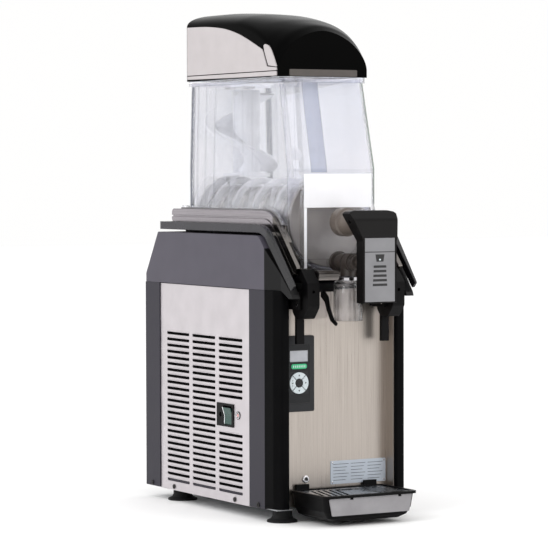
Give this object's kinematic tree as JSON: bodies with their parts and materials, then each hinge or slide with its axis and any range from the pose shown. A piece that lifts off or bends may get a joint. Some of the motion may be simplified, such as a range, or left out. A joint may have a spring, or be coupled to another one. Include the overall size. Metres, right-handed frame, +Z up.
{
  "type": "slush machine",
  "caption": "Counter-top frozen drink machine with a clear bowl, louvred steel body, lever tap, bowl latches and a pull-out drip tray.",
  "frame": {"origin": "centre of the overall box at the level that the feet stand on", "axes": "+Z up, the tap faces -Y, +X is the right-hand side seen from the front"},
  "size_m": [0.2557, 0.568, 0.83],
  "materials": {
    "cover_grey": "satin dark grey paint",
    "gloss_black": "gloss black moulding",
    "black_plastic": "fine matt black moulding",
    "rubber_black": "matt",
    "stainless": "brushed stainless steel",
    "galvanised": "plain zinc-coated sheet",
    "clear": "clear polycarbonate",
    "white_plastic": "white food-grade moulding",
    "light_grey": "light warm grey, fine grain",
    "mid_grey": "mid grey, fine grain",
    "brown_grey": "satin brown-grey",
    "green": "dark green, lit from inside",
    "label_white": "blank white film",
    "chrome": "polished",
    "machine_black": "black enamel",
    "copper": "fins and tube",
    "circuit": "board laminate",
    "display": "display window"
  },
  "bodies": {
    "root": {"base_frame": "galvanised", "feet": "rubber_black", "side_frames": "cover_grey", "louver_panels": "stainless", "corner_columns": "gloss_black", "rear_cover": "cover_grey", "cable_gland": "black_plastic", "front_panel": "stainless", "panel_lock": "chrome", "hood": "cover_grey", "hood_rim": "gloss_black", "deck": "stainless", "front_lip": "stainless", "bowl": "clear", "bowl_gasket": "rubber_black", "bowl_badge": "label_white", "freezing_drum": "stainless", "shaft_seal": "rubber_black", "riser_post": "stainless", "drive_belt": "rubber_black", "gearmotor": "machine_black", "compressor": "machine_black", "condenser": "copper", "fan_motor": "machine_black", "circuit_board": "circuit", "control_bezel": "black_plastic", "display_window": "display", "switch_housing": "black_plastic", "fuse_holder": "black_plastic", "handle_boss": "brown_grey", "tap_barrel": "brown_grey", "tap_spout": "clear", "latch_bar": "black_plastic", "hinge_pins": "chrome", "cover_screws": "chrome"},
    "lid": {"lid_cover": "gloss_black", "lid_side_panels": "light_grey", "lid_strip": "mid_grey", "lid_rim": "clear"},
    "tap_lever": {"tap_handle": "black_plastic", "handle_insert": "mid_grey"},
    "piston": {"tap_piston": "brown_grey"},
    "left_latch": {"left_latch": "black_plastic"},
    "right_latch": {"right_latch": "black_plastic"},
    "auger_drive": {"auger": "white_plastic", "auger_nose": "white_plastic", "drive_shaft": "stainless", "shaft_pulley": "galvanised"},
    "riser": {"riser_auger": "white_plastic"},
    "motor_drive": {"motor_pulley": "galvanised"},
    "fan": {"fan_blade": "black_plastic"},
    "rocker": {"power_rocker": "green"},
    "key_up": {"key_up": "white_plastic"},
    "key_left": {"key_left": "white_plastic"},
    "key_down": {"key_down": "white_plastic"},
    "key_right": {"key_right": "white_plastic"},
    "key_centre": {"key_centre": "white_plastic"},
    "tray": {"drip_tray": "black_plastic", "tray_trim": "light_grey"},
    "grid": {"drip_grid": "stainless"}
  },
  "joints": [
    {"name": "lid_lift", "type": "slide", "parent": "root", "child": "lid", "axis": [0, 0, 1], "range_m": [0, 0.12]},
    {"name": "tap_pull", "type": "hinge", "parent": "root", "child": "tap_lever", "pos_m": [0, -0.258, 0.482], "axis": [-1, 0, 0], "range_deg": [0, 18], "stiffness_Nm_per_rad": 3, "springref_deg": -5.73},
    {"name": "piston_slide", "type": "slide", "parent": "root", "child": "piston", "axis": [0, -1, 0], "range_m": [0, 0.021]},
    {"name": "left_latch_swing", "type": "hinge", "parent": "root", "child": "left_latch", "pos_m": [-0.08, -0.188, 0.35], "axis": [1, 0, 0], "range_deg": [0, 12]},
    {"name": "right_latch_swing", "type": "hinge", "parent": "root", "child": "right_latch", "pos_m": [0.08, -0.188, 0.35], "axis": [1, 0, 0], "range_deg": [0, 12]},
    {"name": "auger_spin", "type": "hinge", "parent": "root", "child": "auger_drive", "pos_m": [0, 0, 0.481], "axis": [0, 1, 0], "continuous": true},
    {"name": "riser_spin", "type": "hinge", "parent": "root", "child": "riser", "pos_m": [0, 0.142, 0.6], "axis": [0, 0, 1], "continuous": true},
    {"name": "motor_spin", "type": "hinge", "parent": "root", "child": "motor_drive", "pos_m": [0, 0.21, 0.35], "axis": [0, 1, 0], "continuous": true},
    {"name": "fan_spin", "type": "hinge", "parent": "root", "child": "fan", "pos_m": [0, 0.202, 0.125], "axis": [0, 1, 0], "continuous": true},
    {"name": "rocker_tip", "type": "hinge", "parent": "root", "child": "rocker", "pos_m": [-0.118, -0.013, 0.1618], "axis": [0, 1, 0], "range_deg": [0, 16]},
    {"name": "tray_slide", "type": "slide", "parent": "root", "child": "tray", "axis": [0, -1, 0], "range_m": [0, 0.1]},
    {"name": "grid_lift", "type": "slide", "parent": "tray", "child": "grid", "axis": [0, 0, 1], "range_m": [0, 0.08]},
    {"name": "key_up_press", "type": "slide", "parent": "root", "child": "key_up", "axis": [0, 1, 0], "range_m": [0, 0.0012], "stiffness_N_per_m": 400},
    {"name": "key_left_press", "type": "slide", "parent": "root", "child": "key_left", "axis": [0, 1, 0], "range_m": [0, 0.0012], "stiffness_N_per_m": 400},
    {"name": "key_down_press", "type": "slide", "parent": "root", "child": "key_down", "axis": [0, 1, 0], "range_m": [0, 0.0012], "stiffness_N_per_m": 400},
    {"name": "key_right_press", "type": "slide", "parent": "root", "child": "key_right", "axis": [0, 1, 0], "range_m": [0, 0.0012], "stiffness_N_per_m": 400},
    {"name": "key_centre_press", "type": "slide", "parent": "root", "child": "key_centre", "axis": [0, 1, 0], "range_m": [0, 0.0012], "stiffness_N_per_m": 400}
  ],
  "couplings": [
    {"joint": "piston_slide", "follows": "tap_pull", "m_per_rad": 0.066},
    {"joint": "riser_spin", "follows": "auger_spin", "ratio": -1.85},
    {"joint": "motor_spin", "follows": "auger_spin", "ratio": 1}
  ]
}
